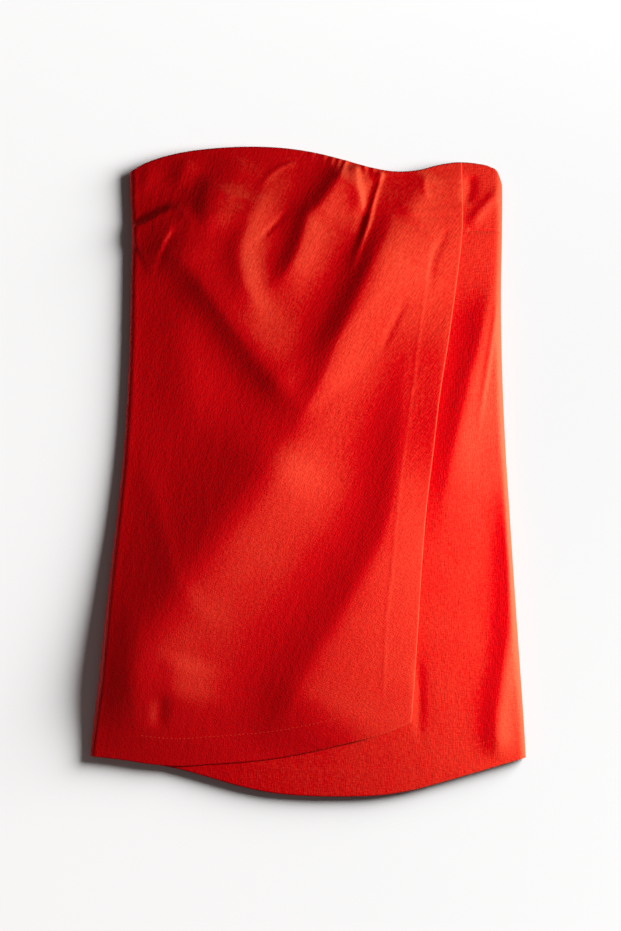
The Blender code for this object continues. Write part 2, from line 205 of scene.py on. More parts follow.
# Folds of the drape. Each runs along its path; west and east are how far it reaches to the two sides,
# start and end the shares of its length over which it rises and fades, crest how round its top is,
# power how fast it falls off and grow how much wider it is at its end.
DRAPE_FOLDS = (
    # name, height, west, east, start, end, crest, power, grow, path
    ("right sweep", 12.0, 22, 56, 0.34, 0.28, 5.0, 1.35, 1.0,
     ((83, 318), (90, 289), (92, 268), (86, 249), (77, 232), (66, 207), (54, 181), (42, 155), (31, 130),
      (19, 102), (6, 75), (-9, 47), (-26, 18))),
    ("low sweep", 17.5, 60, 64, 0.25, 0.24, 5.0, 1.45, 1.15,
     ((15, 93), (4, 72), (-22, 28), (-50, -13), (-82, -52), (-116, -97), (-146, -140), (-170, -186),
      (-187, -235), (-196, -280), (-200, -322))),
    ("left cowl", 11.5, 20, 52, 0.24, 0.22, 5.0, 1.4, 1.0,
     ((-194, 251), (-168, 246), (-146, 236), (-125, 221), (-100, 189), (-73, 151), (-47, 119),
      (-24, 92), (-4, 73), (10, 58))),
    ("tucked fold", 2.8, 26, 2.4, 0.05, 0.34, 0.6, 1.4, 3.4,
     ((-196, 257), (-190, 260), (-174, 267), (-159, 275), (-146, 281), (-137, 280), (-130, 273),
      (-126, 262), (-125, 248))),
    ("shoulder", 4.4, 18, 40, 0.30, 0.40, 2.0, 1.5, 1.0,
     ((-98, 322), (-105, 300), (-108, 278), (-105, 249))),
    ("gathered ridge", 7.0, 15, 26, 0.12, 0.30, 1.2, 1.4, 1.0,
     ((44, 334), (35, 318), (15, 289), (1, 275), (-4, 260), (-12, 235), (-26, 210), (-49, 187))),
    ("gathered arc", 5.2, 16, 20, 0.55, 0.35, 1.6, 1.5, 1.0,
     ((-9, 327), (-27, 323), (-43, 308), (-54, 287), (-65, 262), (-73, 238), (-70, 212), (-60, 184),
      (-44, 150))),
    ("arc crease", 0.8, 2.0, 2.4, 0.25, 0.50, 0.6, 1.6, 1.0,
     ((-10, 333), (-30, 327), (-46, 313), (-55, 298))),
    ("fork crease", -0.9, 2.4, 2.4, 0.40, 0.40, 0.8, 1.6, 1.0,
     ((-20, 285), (-33, 268), (-47, 254), (-55, 242))),
    ("panel fold", 2.0, 9, 3.4, 0.10, 0.35, 0.8, 1.6, 1.4,
     ((51, 331), (52, 312), (56, 291), (58, 272))),
    ("pressed ridge", 1.9, 5.0, 2.4, 0.05, 0.50, 0.9, 1.6, 1.2,
     ((80, 324), (74, 306), (69, 289), (64, 268), (58, 250), (52, 233), (42, 204))),
    ("pressed groove", -1.6, 5, 3, 0.10, 0.45, 1.0, 1.6, 1.5,
     ((76, 318), (67, 294), (60, 270), (54, 249), (46, 225))),
    ("upper left fold", 2.6, 20, 24, 0.20, 0.35, 4.0, 1.6, 1.0,
     ((-69, 346), (-81, 314), (-92, 286), (-103, 254), (-99, 225))),
    ("corner fold", 1.8, 9, 9, 0.30, 0.40, 2.0, 1.6, 1.0,
     ((-126, 340), (-134, 322), (-142, 300))),
    ("outer corner fold", 1.2, 8, 8, 0.30, 0.40, 2.0, 1.6, 1.0,
     ((-166, 333), (-174, 313), (-181, 292))),
    ("hem sweep", 11.5, 28, 85, 0.52, 0.16, 4.0, 1.4, 1.4,
     ((125, 225), (115, 152), (106, 88), (100, 23), (94, -30), (82, -73), (62, -111), (41, -151),
      (15, -192), (-9, -235), (-30, -275), (-46, -312))),
    ("edge rise", 5.2, 36, 20, 0.30, 0.45, 3.0, 1.5, 1.0,
     ((155, 195), (148, 131), (142, 77), (136, 23), (129, -41))),
    ("left sweep", 1.0, 14, 11, 0.20, 0.40, 1.5, 1.5, 1.2,
     ((-178, 34), (-172, -5), (-160, -47), (-144, -108), (-126, -138), (-101, -162), (-67, -186))),
    ("left side fold", 3.0, 26, 26, 0.30, 0.40, 5.0, 1.6, 1.0,
     ((-148, 206), (-135, 142), (-129, 77), (-127, 23))),
    ("low left fold", 1.6, 20, 16, 0.35, 0.30, 3.0, 1.5, 1.0,
     ((-183, -127), (-187, -181), (-188, -235), (-184, -283))),
    ("low middle fold", 2.4, 22, 34, 0.30, 0.35, 2.5, 1.5, 1.0,
     ((-135, -192), (-142, -223), (-144, -262))),
    ("low dimple", -1.6, 7, 6, 0.30, 0.30, 2.0, 1.6, 1.0,
     ((-155, -236), (-159, -257), (-159, -280))),
    ("dimple side", 1.8, 16, 14, 0.20, 0.30, 3.0, 1.5, 1.0,
     ((132, 324), (123, 307), (112, 287), (99, 268))),
    ("edge crease", -0.6, 4, 4, 0.30, 0.40, 1.0, 1.6, 1.2,
     ((152, 268), (144, 250), (134, 225), (128, 190))),
    ("sweep crease", -0.45, 4, 3, 0.30, 0.40, 1.0, 1.6, 1.0,
     ((108, 190), (92, 158), (74, 118))),
    ("valley crease", 0.5, 3, 2.4, 0.30, 0.40, 0.8, 1.6, 1.0,
     ((126, 322), (125, 305), (131, 287))),
)

# Small gathers along the neckline between the cups: top point, lower end and height
GATHERS = (
    # x_top, x_end, y_end, height
    (6, 2, 332, 0.5),
    (19, 14, 327, 0.7),
    (29, 21, 322, 0.9),
    (36, 27, 318, 1.1),
    (43, 32, 312, 1.3),
    (60, 62, 314, 0.9),
    (70, 69, 309, 0.8),
)
# west, east, start, end, crest, power and grow, as for the folds
GATHER_SHAPE = (2.0, 2.0, 0.05, 0.85, 0.6, 1.6, 1.2)
GATHER_RUNS_PAST = 6.0     # the neckline, so that a gather is at its full height there

# Folds of the under front, right of the drape's free edge
UNDER_FOLDS = (
    # name, height, west, east, start, end, crest, power, grow, path
    ("side sweep", 6.0, 19, 34, 0.25, 0.50, 2.5, 1.3, 1.1,
     ((203, 226), (196, 185), (189, 157), (183, 129), (175, 101), (169, 75), (157, 23), (148, -30),
      (142, -95))),
    ("side crease", 0.6, 2.5, 2.2, 0.25, 0.50, 0.8, 1.6, 1.0,
     ((207, 200), (201, 165), (194, 120), (186, 70), (180, 23))),
    ("low right fold", 3.4, 13, 14, 0.30, 0.10, 1.5, 1.5, 1.0,
     ((212, 7), (218, -79), (217, -159), (209, -224), (203, -267), (204, -315))),
    ("dart fold", 1.3, 5, 6, 0.30, 0.30, 1.2, 1.6, 1.0,
     ((211, 308), (192, 288), (170, 262))),
    ("dart hollow", -1.3, 6, 5, 0.30, 0.30, 1.5, 1.6, 1.0,
     ((172, 322), (174, 304), (167, 286))),
    ("edge hollow", -0.7, 5, 5, 0.30, 0.30, 1.0, 1.6, 1.0,
     ((118, -192), (120, -245), (119, -294))),
)

# The bust dart at the right side seam
DART = ((174, 259.6), (190, 258.6), (209, 258.0))
DART_DEPTH = 0.8
DART_REACH = 1.1

# Soft creases of the hidden back, each a hollow that lifts off the surface, with the start, end,
# crest, power and grow of them all
BACK_CREASE_SHAPE = (0.35, 0.35, 3.0, 1.8, 1.0)
BACK_CREASES = (
    # lift, reach, path
    (0.8, 12, ((-150, 280), (-128, 190), (-120, 90))),
    (0.7, 10, ((-60, 290), (-52, 200), (-70, 110))),
    (0.8, 14, ((-170, 20), (-140, -90), (-150, -210))),
    (0.6, 9, ((-80, -40), (-62, -150), (-84, -260))),
    (0.7, 11, ((60, 285), (78, 180), (70, 60))),
    (0.8, 13, ((150, 270), (162, 150), (150, 20))),
    (0.7, 12, ((90, -10), (70, -130), (92, -270))),
    (0.6, 10, ((180, -60), (170, -180), (188, -280))),
)


def curve(rows):
    """A smooth reading of (where, value) rows, straight on past both ends."""
    at, value = np.array(sorted(rows), float).T
    slope = np.gradient(value, at)

    def read(where):
        where = np.asarray(where, float)
        row = np.clip(np.searchsorted(at, where) - 1, 0, len(at) - 2)
        span = at[row + 1] - at[row]
        u = np.clip((where - at[row]) / span, 0, 1)
        inside = (
            (2 * u**3 - 3 * u**2 + 1) * value[row]
            + (u**3 - 2 * u**2 + u) * span * slope[row]
            + (3 * u**2 - 2 * u**3) * value[row + 1]
            + (u**3 - u**2) * span * slope[row + 1]
        )
        before = np.minimum(where - at[0], 0) * slope[0]
        after = np.maximum(where - at[-1], 0) * slope[-1]
        return inside + before + after

    return read


left_edge = curve([(y, left) for y, left, _, _ in SECTIONS])
right_edge = curve([(y, right) for y, _, right, _ in SECTIONS])
free_edge = curve([(y, edge) for y, _, _, edge in SECTIONS])
facing_edge = curve(FACING_EDGE)
neckline = curve(NECKLINE)
back_neckline = curve(BACK_NECKLINE)
under_hem = curve([(x, hem) for x, hem, _ in HEMS])
drape_hem = curve([(x, hem) for x, _, hem in HEMS])


def back_hem(x):
    return under_hem(x) + BACK_HEM_SHORTER


def smooth_step(share):
    share = np.clip(share, 0, 1)
    return share * share * (3 - 2 * share)


def route(path, runs=36):
    """Points along a smooth curve through the path."""
    path = np.array(path, float)
    padded = np.vstack([2 * path[0] - path[1], path, 2 * path[-1] - path[-2]])
    points = []
    for place in np.linspace(0, len(path) - 1, runs + 1):
        row = min(int(place), len(path) - 2)
        u = place - row
        a, b, c, d = padded[row : row + 4]
        bend = 2 * a - 5 * b + 4 * c - d
        points.append(0.5 * (2 * b + (c - a) * u + bend * u**2 + (3 * b - a - 3 * c + d) * u**3))
    return np.array(points)


def along_and_aside(x, y, line):
    """How far along the line each point lies, as a share, and how far aside of it, plus on its east."""
    steps = np.hypot(*(line[1:] - line[:-1]).T)
    reached = np.concatenate([[0], np.cumsum(steps)])
    nearest = np.full(x.shape, np.inf)
    share = np.zeros(x.shape)
    side = np.ones(x.shape)
    for row, step in enumerate(steps):
        (ax, ay), (bx, by) = line[row], line[row + 1]
        dx, dy = bx - ax, by - ay
        u = np.clip(((x - ax) * dx + (y - ay) * dy) / step**2, 0, 1)
        off_x, off_y = x - ax - u * dx, y - ay - u * dy
        distance = np.hypot(off_x, off_y)
        closer = distance < nearest
        nearest = np.where(closer, distance, nearest)
        share = np.where(closer, (reached[row] + u * step) / reached[-1], share)
        side = np.where(closer, np.where(dx * off_y - dy * off_x >= 0, 1.0, -1.0), side)
    return share, nearest * side


def fold(x, y, height, west, east, start, end, crest, power, grow, path):
    """The height that one fold adds at each point."""
    share, aside = along_and_aside(x, y, route(path))
    from_crest = np.sqrt(aside**2 + crest**2) - crest
    reach = np.where(aside > 0, east, west) * (1 + (grow - 1) * share)
    rise = np.exp(-((from_crest / reach) ** power))
    return height * rise * smooth_step(share / start) * smooth_step((1 - share) / end)


def gathers(x, y):
    """The small gathers that fan down from the neckline."""
    total = np.zeros(x.shape)
    for x_top, x_end, y_end, height in GATHERS:
        top = (x_top, float(neckline(x_top)) + GATHER_RUNS_PAST)
        total += fold(x, y, height, *GATHER_SHAPE, (top, (x_end, y_end)))
    return total


def bent_edge(inwards):
    """How far the cloth bends down at a folded edge."""
    return -EDGE_DROP * np.exp(-((np.clip(inwards, 0, None) / EDGE_REACH) ** EDGE_POWER))


def double_layer(inwards, depth):
    """The step where a turned-in layer ends, seen from the right side of the cloth."""
    return HEM_TURN_STEP * smooth_step((depth - inwards) / STEP_WIDTH + 0.5)


def facing_line(x, y):
    """The ridge that the facing's inner edge presses into the drape."""
    past = x - facing_edge(y)
    reach = np.where(past > 0, FACING_REACH[1], FACING_REACH[0])
    from_top, from_hem = FACING_SHOWS_BELOW - y, y - drape_hem(x) - HEM_TURN
    shows = smooth_step(from_top / FACING_FADES[0]) * smooth_step(from_hem / FACING_FADES[1])
    return FACING_RIDGE * shows * np.exp(-np.abs(past) / reach)


def under_base(x, y):
    """The under front's large form, which the drape lies on."""
    share = (y - under_hem(0)) / (neckline(0) - under_hem(0))
    flat = FRONT_HEIGHT_HEM + (FRONT_HEIGHT_NECK - FRONT_HEIGHT_HEM) * share
    return flat + sum(fold(x, y, *row[1:]) for row in UNDER_FOLDS)


def under_height(x, y):
    """The under front's outer face away from its side seams."""
    _, from_dart = along_and_aside(x, y, route(DART, 8))
    dart = -DART_DEPTH * np.exp(-((from_dart / DART_REACH) ** 2))
    edges = bent_edge(neckline(x) - y) + bent_edge(y - under_hem(x))
    return under_base(x, y) + dart + edges + double_layer(y - under_hem(x), HEM_TURN)


def drape_height(x, y, wall):
    """The drape's outer face: the under front's, moved out, with the drape's own folds."""
    folds = sum(fold(x, y, *row[1:]) for row in DRAPE_FOLDS) + gathers(x, y)
    edges = bent_edge(neckline(x) - y) + bent_edge(y - drape_hem(x)) + bent_edge(free_edge(y) - x)
    doubled = double_layer(y - drape_hem(x), HEM_TURN)
    allowance = double_layer(x - left_edge(y), SEAM_ALLOWANCE)
    return under_base(x, y) + LAYER_GAP + wall + folds + edges + doubled + facing_line(x, y) + allowance


def back_lift(x, y):
    """How far the back's soft creases rise off the surface, and its edges at the centre seam."""
    total = np.zeros(x.shape)
    for lift, reach, path in BACK_CREASES:
        total = np.maximum(total, fold(x, y, lift, reach, reach, *BACK_CREASE_SHAPE, path))
    return total - bent_edge(np.abs(x)) - bent_edge(y - back_hem(x)) - bent_edge(back_neckline(x) - y)


def rounded(inwards, roll):
    """0 at a side seam, rising over a full round to 1 where the roll ends."""
    return (1 - (1 - np.clip(inwards, 0, roll) / roll) ** ROLL_FULLNESS) ** (1 / ROLL_FULLNESS)


def spaced(*stretches):
    """Shares from 0 to 1. Each stretch is the share where it ends and its number of steps."""
    shares = [0.0]
    for end, steps in stretches:
        shares += list(np.linspace(shares[-1], end, steps + 1)[1:])
    return np.array(shares)


def rolled(roll):
    """Distances in from a side seam: its upright stretch, then equal turns up to the flat part."""
    if not roll:
        return np.array([])
    turns = np.linspace(0, np.pi / 2, ROLL_STEPS + 1)[:-1]
    return np.concatenate([[0.0], roll * (1 - np.cos(turns))])


class CutPiece:
    """A piece of cloth: rows from its lower edge to its top, columns from its west side to its east."""

    def __init__(self, west, east, lower, top, shares, rows, west_roll=0.0, east_roll=0.0):
        self.west, self.east, self.lower, self.top, self.rows = west, east, lower, top, rows
        near, far = rolled(west_roll), rolled(east_roll)
        middle = len(shares)
        self.at_seam = np.zeros(len(near) + middle + len(far))
        self.at_seam[: bool(west_roll)] = 1
        self.at_seam[len(self.at_seam) - bool(east_roll) :] = 1
        self.from_west = np.concatenate([near, np.full(middle + len(far), west_roll)])
        self.share = np.concatenate([np.zeros(len(near)), shares, np.ones(len(far))])
        self.from_east = np.concatenate([np.full(len(near) + middle, east_roll), far[::-1]])
        self.west_roll, self.east_roll = west_roll, east_roll

    def points(self):
        """x, y of every column and row."""
        share, rows = np.meshgrid(self.share, self.rows, indexing="ij")
        west_inset, _ = np.meshgrid(self.from_west, self.rows, indexing="ij")
        east_inset, _ = np.meshgrid(self.from_east, self.rows, indexing="ij")
        y = np.zeros(share.shape)
        for _ in range(PLACING_ROUNDS):
            start, stop = self.west(y) + west_inset, self.east(y) - east_inset
            x = start * (1 - share) + stop * share
            y = self.lower(x) * (1 - rows) + self.top(x) * rows
        return x, y

    def heights(self, x, y, seam, flat):
        """The outer face: flat in the middle, rounding over to the seam at a side that has a roll."""
        reached = np.ones(x.shape)
        if self.west_roll:
            reached = reached * rounded(x - self.west(y), self.west_roll)
        if self.east_roll:
            reached = reached * rounded(self.east(y) - x, self.east_roll)
        upright = np.copysign(SEAM_UPRIGHT, flat - seam)
        above_seam = upright * (1 - self.at_seam[:, None])
        return seam + above_seam + (flat - seam - upright) * reached


def straight_grain(x, y):
    """Threads that run straight down and across."""
    return x, y


def draped_grain(x, y):
    """Threads of the drape: near upright at the left seam, and turned where the cloth sweeps up."""
    turn = GRAIN_TURN + GRAIN_TURN_RATE * x
    squeeze = np.exp(-GRAIN_TURN_RATE * y)
    return squeeze * np.sin(turn) / GRAIN_TURN_RATE, -squeeze * np.cos(turn) / GRAIN_TURN_RATE


def cloth_piece(name, x, y, z, wall, finish, grain=straight_grain, faces_down=False):
    """A piece's outer face as a grid with its thread directions, given its wall on the inside."""
    last_column, last_row = x.shape[0] - 1, x.shape[1] - 1
    form = bmesh.new()
    bmesh.ops.create_grid(form, x_segments=last_column, y_segments=last_row, size=0.5)
    if faces_down:
        bmesh.ops.reverse_faces(form, faces=form.faces)
    mesh = bpy.data.meshes.new(name)
    form.to_mesh(mesh)
    form.free()
    flat = np.empty(len(mesh.vertices) * 3)
    mesh.vertices.foreach_get("co", flat)
    column, row, _ = np.round((flat.reshape(-1, 3) + 0.5) * (last_column, last_row, 1)).astype(int).T
    placed = np.column_stack([x[column, row], y[column, row], z[column, row]]) * METRES
    mesh.vertices.foreach_set("co", placed.ravel())
    across, up = grain(x, y)
    corner = np.empty(len(mesh.loops), int)
    mesh.loops.foreach_get("vertex_index", corner)
    threads = np.column_stack([across[column, row], up[column, row]]) * METRES
    mesh.uv_layers.new(name=GRAIN).data.foreach_set("uv", threads[corner].ravel())
    mesh.update()
    mesh.shade_smooth()
    piece = bpy.data.objects.new(name, mesh)
    piece.data.materials.append(finish)
    bpy.context.scene.collection.objects.link(piece)
    thickness = piece.modifiers.new("Wall", "SOLIDIFY")
    thickness.thickness = wall * METRES
    thickness.offset = -1
    return piece


class Reading:
    """A shader socket that can be used in a Python expression."""

    def __init__(self, finish, socket):
        self.finish, self.socket = finish, socket

    def maths(self, operation, first, second=0.0):
        return Reading(self.finish, self.finish.maths(operation, first, second))

    def __add__(self, other):
        return self.maths("ADD", self, other)

    def __sub__(self, other):
        return self.maths("SUBTRACT", self, other)

    def __rsub__(self, other):
        return self.maths("SUBTRACT", other, self)

    def __mul__(self, other):
        return self.maths("MULTIPLY", self, other)

    def __rmul__(self, other):
        return self.maths("MULTIPLY", other, self)

    def __truediv__(self, other):
        return self.maths("DIVIDE", self, other)

    def __rtruediv__(self, other):
        return self.maths("DIVIDE", other, self)

    def __pow__(self, other):
        return self.maths("POWER", self, other)

    def sine(self):
        return self.maths("SINE", self)

    def held(self, lowest=0.0, highest=1.0):
        """This reading, kept between two values."""
        return self.maths("MINIMUM", self.maths("MAXIMUM", self, lowest), highest)


class NodeTree:
    """Adds nodes to a tree and joins them up."""

    def put(self, socket, value):
        if isinstance(value, Reading):
            value = value.socket
        if isinstance(value, bpy.types.NodeSocket):
            self.tree.links.new(value, socket)
        else:
            socket.default_value = value

    def add(self, kind, settings=None, sockets=None):
        """A node: its kind, its settings, which come first, and the values or links of its sockets."""
        made = self.tree.nodes.new(kind)
        for setting, value in (settings or {}).items():
            setattr(made, setting, value)
        for socket, value in (sockets or {}).items():
            self.put(made.inputs[socket], value)
        return made

    def maths(self, operation, first, second):
        made = self.add("ShaderNodeMath", {"operation": operation}, {0: first, 1: second})
        return made.outputs[0]


class Finish(NodeTree):
    """One material and the nodes that make it."""

    def __init__(self, name):
        self.material = bpy.data.materials.new(name)
        self.material.use_nodes = True
        self.tree = self.material.node_tree
        self.shader = self.tree.nodes["Principled BSDF"]

    def read(self, node, output=0):
        return Reading(self, node.outputs[output])

    def parts_of(self, vector):
        split = self.add("ShaderNodeSeparateXYZ", sockets={0: vector})
        return [self.read(split, axis) for axis in range(3)]

    def noise(self, across, up, detail=2.0):
        """Noise at a place given by two readings, from 0 to 1."""
        place = self.add("ShaderNodeCombineXYZ", sockets={0: across, 1: up})
        return self.read(self.add(
            "ShaderNodeTexNoise", {"noise_dimensions": "2D"},
            {"Vector": place.outputs[0], "Scale": 1.0, "Detail": detail, "Roughness": 0.5}))

    def mix(self, share, first, second, blend="MIX"):
        """Two colours mixed by a share."""
        made = self.add("ShaderNodeMix", {"data_type": "RGBA", "blend_type": blend},
                        {0: share, 6: first, 7: second})
        return made.outputs[2]

    def bump(self, height, distance, below=None):
        made = self.add("ShaderNodeBump",
                        sockets={"Height": height, "Distance": distance, "Strength": 1.0})
        if below is not None:
            self.put(made.inputs["Normal"], below)
        return made.outputs[0]

    def set(self, **values):
        """Sets the shader's sockets; an underscore in a name stands for a space."""
        for name, value in values.items():
            self.put(self.shader.inputs[name.replace("_", " ")], value)


def opaque(colour, share=1.0):
    return (colour[0] * share, colour[1] * share, colour[2] * share, 1.0)


def woven_cloth(name, look, shade=1.0, weft_and_sheen_shows=0.0, painted_sheen_eastwards=0.0):
    """Plain weave of uneven threads, the cross threads more orange: real in slubs and cloudy patches,
    and a painted highlight where the cloth leans to the east and north, towards the lights."""
    finish = Finish(name)
    across, up, _ = finish.parts_of(finish.add("ShaderNodeUVMap", {"uv_map": GRAIN}).outputs[0])
    narrow, long = 1 / (look.slub_width * METRES), 1 / (look.slub_length * METRES)
    warp_slubs = finish.noise(across * narrow, up * long)
    weft_slubs = finish.noise(across * long + 7.0, up * narrow)
    turns = 2 * np.pi / (look.thread_pitch * METRES)
    weave = (across * turns).sine() * (up * turns).sine() * 0.5 + 0.5
    cloudy = finish.noise(across * CLOUDS[0], up * CLOUDS[1], 3.0)
    pucker = finish.noise(across * RUMPLES[0] + 3.0, up * RUMPLES[1])
    slubs = (warp_slubs + weft_slubs) * 0.5
    east, north, _ = finish.parts_of(finish.add("ShaderNodeNewGeometry").outputs["Normal"])
    place, _, _ = finish.parts_of(finish.add("ShaderNodeTexCoord").outputs["Object"])
    # Painted highlight: more of the orange colour where the normal leans east and north, towards the
    # lights.
    painted_sheen_lean = east * PAINTED_SHEEN_EAST + north * PAINTED_SHEEN_NORTH
    patches = slubs * WEFT_IN_SLUBS + cloudy * WEFT_IN_CLOUDS
    # It also grows eastwards across the piece, a painted highlight on the lights' side; slubs and
    # clouds are real uneven tone.
    weft_and_painted_sheen = (painted_sheen_lean + patches + place * painted_sheen_eastwards + (weft_and_sheen_shows - WEFT_AND_SHEEN_HIDDEN)).held()
    thread = finish.mix(weft_and_painted_sheen, opaque(look.warp_colour, shade), opaque(look.weft_and_sheen_colour, shade))
    uneven = slubs * look.unevenness * 2 + (1 - look.unevenness)
    grey = finish.add("ShaderNodeCombineXYZ", sockets={0: uneven, 1: uneven, 2: uneven}).outputs[0]
    colour = finish.mix(1.0, thread, grey, "MULTIPLY")
    raised = finish.bump(weave, look.weave_relief * METRES)
    raised = finish.bump(pucker, look.pucker * METRES, raised)
    raised = finish.bump(slubs, look.slub_relief * METRES, raised)
    finish.set(Base_Color=colour, Roughness=slubs * 0.2 + (look.roughness - 0.1), Normal=raised)
    finish.set(Specular_IOR_Level=look.gloss, Specular_Tint=opaque(look.gloss_colour),
               Sheen_Weight=look.sheen, Sheen_Roughness=0.5, Sheen_Tint=opaque(look.gloss_colour))
    return finish.material


def thread_finish(name, look, shade):
    """Sewing thread: matt and twisted, with darker bands along the twist, a painted shade; shade above
    1 makes it a painted highlight, below 1 a painted shade.
    """
    finish = Finish(name)
    x, y, _ = finish.parts_of(finish.add("ShaderNodeTexCoord").outputs["Object"])
    twist = ((x + y) * THREAD_TWIST).sine() * 0.5 + 0.5
    # Painted shade: darker bands along the twist.
    colour = finish.mix(twist, opaque(look.weft_and_sheen_colour, shade * 0.8), opaque(look.weft_and_sheen_colour, shade))
    finish.set(Base_Color=colour, Roughness=0.7, Specular_IOR_Level=0.2)
    return finish.material


def tape_finish(name, look):
    """Knitted zip tape: fine ribs along it, in relief, and darker between them in colour, a painted
    shade.
    """
    finish = Finish(name)
    x, y, _ = finish.parts_of(finish.add("ShaderNodeTexCoord").outputs["Object"])
    ribs = (x * TAPE_RIBS[0]).sine() * 0.5 + 0.5
    rows = (y * TAPE_RIBS[1]).sine() * 0.5 + 0.5
    raised = ribs * 0.6 + rows * 0.3
    # Painted shade: darker between the ribs and rows, lighter on them.
    colour = finish.mix(raised, opaque(look.warp_colour, 0.55), opaque(look.warp_colour, 0.85))
    finish.set(Base_Color=colour, Roughness=0.75, Specular_IOR_Level=0.2,
               Normal=finish.bump(ribs + rows * 0.4, 0.0001))
    return finish.material


def enamel_finish(name, look):
    """Red enamel over cast metal, with fine wear."""
    finish = Finish(name)
    x, y, z = finish.parts_of(finish.add("ShaderNodeTexCoord").outputs["Object"])
    aside, upwards = ENAMEL_WEAR
    wear = finish.noise(x * aside, y * aside + z * upwards, 4.0)
    colour = finish.mix(wear, opaque(look.warp_colour, 0.5), opaque(look.warp_colour, 0.75))
    finish.set(Base_Color=colour, Roughness=wear * 0.2 + 0.25, Coat_Weight=0.4,
               Normal=finish.bump(wear, 0.00003))
    return finish.material


class ShapeNodes(NodeTree):
    """A Geometry Nodes tree and its named inputs."""

    def __init__(self, name, inputs):
        self.tree = bpy.data.node_groups.new(name, "GeometryNodeTree")
        self.identifiers = {}
        face = self.tree.interface
        face.new_socket("Geometry", in_out="INPUT", socket_type="NodeSocketGeometry")
        for label, kind, default in inputs:
            socket = face.new_socket(label, in_out="INPUT", socket_type=kind)
            self.identifiers[label] = socket.identifier
            if default is not None:
                socket.default_value = default
        face.new_socket("Geometry", in_out="OUTPUT", socket_type="NodeSocketGeometry")
        self.given = self.tree.nodes.new("NodeGroupInput")
        self.result = self.tree.nodes.new("NodeGroupOutput")

    def ring(self, sides, radius):
        return self.add("GeometryNodeCurvePrimitiveCircle",
                        sockets={"Resolution": sides, "Radius": radius})

    def tube(self, path, sides, radius, capped=False):
        """A tube along a curve."""
        ring = self.ring(sides, radius)
        return self.add("GeometryNodeCurveToMesh", sockets={
            "Curve": path.outputs[0], "Profile Curve": ring.outputs[0], "Fill Caps": capped})

    def repeat(self, thing, spacing, **more):
        """Repeats the thing along the given path, in its material, and ends the tree."""
        places = self.add("GeometryNodeCurveToPoints", {"mode": "LENGTH"},
                          {"Curve": self.given.outputs["Geometry"], "Length": spacing})
        placed = self.add("GeometryNodeInstanceOnPoints", sockets={
            "Points": places.outputs["Points"], "Instance": thing.outputs[0],
            "Rotation": places.outputs["Rotation"], **more})
        real = self.add("GeometryNodeRealizeInstances", sockets={0: placed.outputs[0]})
        dressed = self.add("GeometryNodeSetMaterial", sockets={
            0: real.outputs[0], "Material": self.given.outputs["Material"]})
        self.tree.links.new(dressed.outputs[0], self.result.inputs[0])

    def make(self, name, path, values):
        """The tree's result along the path as a plain mesh object."""
        guide = bpy.data.objects.new(name, path)
        bpy.context.scene.collection.objects.link(guide)
        run = guide.modifiers.new("Run", "NODES")
        run.node_group = self.tree
        for label, value in values.items():
            run[self.identifiers[label]] = value
        held = bpy.context.evaluated_depsgraph_get()
        mesh = bpy.data.meshes.new_from_object(guide.evaluated_get(held))
        mesh.name = name
        bpy.data.objects.remove(guide)
        made = bpy.data.objects.new(name, mesh)
        bpy.context.scene.collection.objects.link(made)
        return made


def stitch_nodes():
    """Short threads, evenly spaced along each path and a little uneven in length."""
    nodes = ShapeNodes("Stitches", (
        ("Spacing", "NodeSocketFloat", 0.008),
        ("Length", "NodeSocketFloat", 0.002),
        ("Thread Radius", "NodeSocketFloat", 0.00015),
        ("Unevenness", "NodeSocketFloat", 0.2),
        ("Seed", "NodeSocketInt", 0),
        ("Material", "NodeSocketMaterial", None),
    ))
    given = nodes.given.outputs
    ends = [
        nodes.add("ShaderNodeCombineXYZ", sockets={2: nodes.maths("MULTIPLY", given["Length"], part)})
        for part in (-0.5, 0.5)
    ]
    line = nodes.add("GeometryNodeCurvePrimitiveLine",
                     sockets={"Start": ends[0].outputs[0], "End": ends[1].outputs[0]})
    thread = nodes.tube(line, 6, given["Thread Radius"], capped=True)
    size = nodes.add("FunctionNodeRandomValue", {"data_type": "FLOAT"}, {
        2: nodes.maths("SUBTRACT", 1.0, given["Unevenness"]),
        3: nodes.maths("ADD", 1.0, given["Unevenness"]),
        "Seed": given["Seed"],
    })
    scale = nodes.add("ShaderNodeCombineXYZ", sockets={0: 1.0, 1: 1.0, 2: size.outputs[1]})
    nodes.repeat(thread, given["Spacing"], Scale=scale.outputs[0])
    return nodes


def coil_nodes():
    """The turns of a zip's coil along its path."""
    nodes = ShapeNodes("Zip Coil", (
        ("Pitch", "NodeSocketFloat", 0.0015),
        ("Turn Radius", "NodeSocketFloat", 0.00115),
        ("Wire Radius", "NodeSocketFloat", 0.0002),
        ("Material", "NodeSocketMaterial", None),
    ))
    given = nodes.given.outputs
    turn = nodes.ring(12, given["Turn Radius"])
    nodes.repeat(nodes.tube(turn, 5, given["Wire Radius"]), given["Pitch"])
    return nodes


def path_curve(name, points):
    """A curve of straight stretches through the points, which are in millimetres."""
    path = bpy.data.curves.new(name, "CURVE")
    path.dimensions = "3D"
    spline = path.splines.new("POLY")
    spline.points.add(len(points) - 1)
    placed = np.column_stack([np.array(points) * METRES, np.ones(len(points))])
    spline.points.foreach_set("co", placed.ravel())
    return path


def number_prop(name, description, default, **more):
    return FloatProperty(name=name, description=description, default=default, **more)


def length_prop(name, description, default):
    return number_prop(name, description, default, unit="LENGTH", precision=5)


def share_prop(name, description, default):
    return number_prop(name, description, default, subtype="FACTOR")


def vector_prop(name, description, subtype, default):
    return FloatVectorProperty(name=name, description=description, subtype=subtype, default=default)


def colour_prop(name, description, default):
    return vector_prop(name, description, "COLOR", default)


def place_prop(name, description, default):
    return vector_prop(name, description, "TRANSLATION", default)


